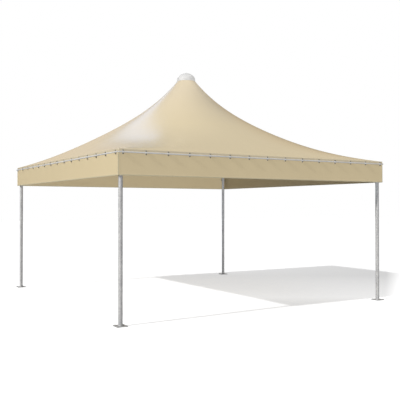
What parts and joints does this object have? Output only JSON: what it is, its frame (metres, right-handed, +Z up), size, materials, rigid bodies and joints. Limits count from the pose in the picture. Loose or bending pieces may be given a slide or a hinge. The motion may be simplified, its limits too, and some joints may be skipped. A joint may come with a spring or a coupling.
{
  "type": "gazebo tent",
  "caption": "Square pagoda gazebo tent: round galvanised posts, box eave frame, peaked cream membrane roof on a hanging king post, straight valances, clamping tubes and a white pleated cap.",
  "frame": {"origin": "on the ground under the peak, at the middle of the four base plates' undersides", "axes": "+Z up, -Y out of the front side, +X out of the right side"},
  "size_m": [5.047, 5.047, 4.142],
  "materials": {
    "galvanised_steel": "hot-dip galvanised, dull with a fine spangle",
    "base_plate_steel": "hot-dip galvanised plate",
    "corner_socket_steel": "hot-dip galvanised, welded",
    "eave_beam_aluminium": "mill-finish extrusion",
    "clamping_tube_steel": "zinc-plated, satin",
    "stay_steel": "galvanised wire rope",
    "roof_membrane": "smooth coated polyester, satin gloss",
    "valance_membrane": "smooth coated polyester, satin gloss",
    "cap_white": "white coated fabric, pleated"
  },
  "bodies": {
    "root": {"front_left_post": "galvanised_steel", "front_left_base_plate": "base_plate_steel", "front_left_corner_socket": "corner_socket_steel", "front_left_stay": "stay_steel", "front_right_post": "galvanised_steel", "front_right_base_plate": "base_plate_steel", "front_right_corner_socket": "corner_socket_steel", "front_right_stay": "stay_steel", "back_right_post": "galvanised_steel", "back_right_base_plate": "base_plate_steel", "back_right_corner_socket": "corner_socket_steel", "back_right_stay": "stay_steel", "back_left_post": "galvanised_steel", "back_left_base_plate": "base_plate_steel", "back_left_corner_socket": "corner_socket_steel", "back_left_stay": "stay_steel", "front_eave_beam": "eave_beam_aluminium", "front_roof_gore_left": "roof_membrane", "front_roof_gore_right": "roof_membrane", "front_valance": "valance_membrane", "front_clamping_tube": "clamping_tube_steel", "right_eave_beam": "eave_beam_aluminium", "right_roof_gore_left": "roof_membrane", "right_roof_gore_right": "roof_membrane", "right_valance": "valance_membrane", "right_clamping_tube": "clamping_tube_steel", "back_eave_beam": "eave_beam_aluminium", "back_roof_gore_left": "roof_membrane", "back_roof_gore_right": "roof_membrane", "back_valance": "valance_membrane", "back_clamping_tube": "clamping_tube_steel", "left_eave_beam": "eave_beam_aluminium", "left_roof_gore_left": "roof_membrane", "left_roof_gore_right": "roof_membrane", "left_valance": "valance_membrane", "left_clamping_tube": "clamping_tube_steel", "king_post": "galvanised_steel", "king_post_foot": "corner_socket_steel", "crown_plate": "corner_socket_steel", "crown_cap": "cap_white"}
  },
  "joints": []
}
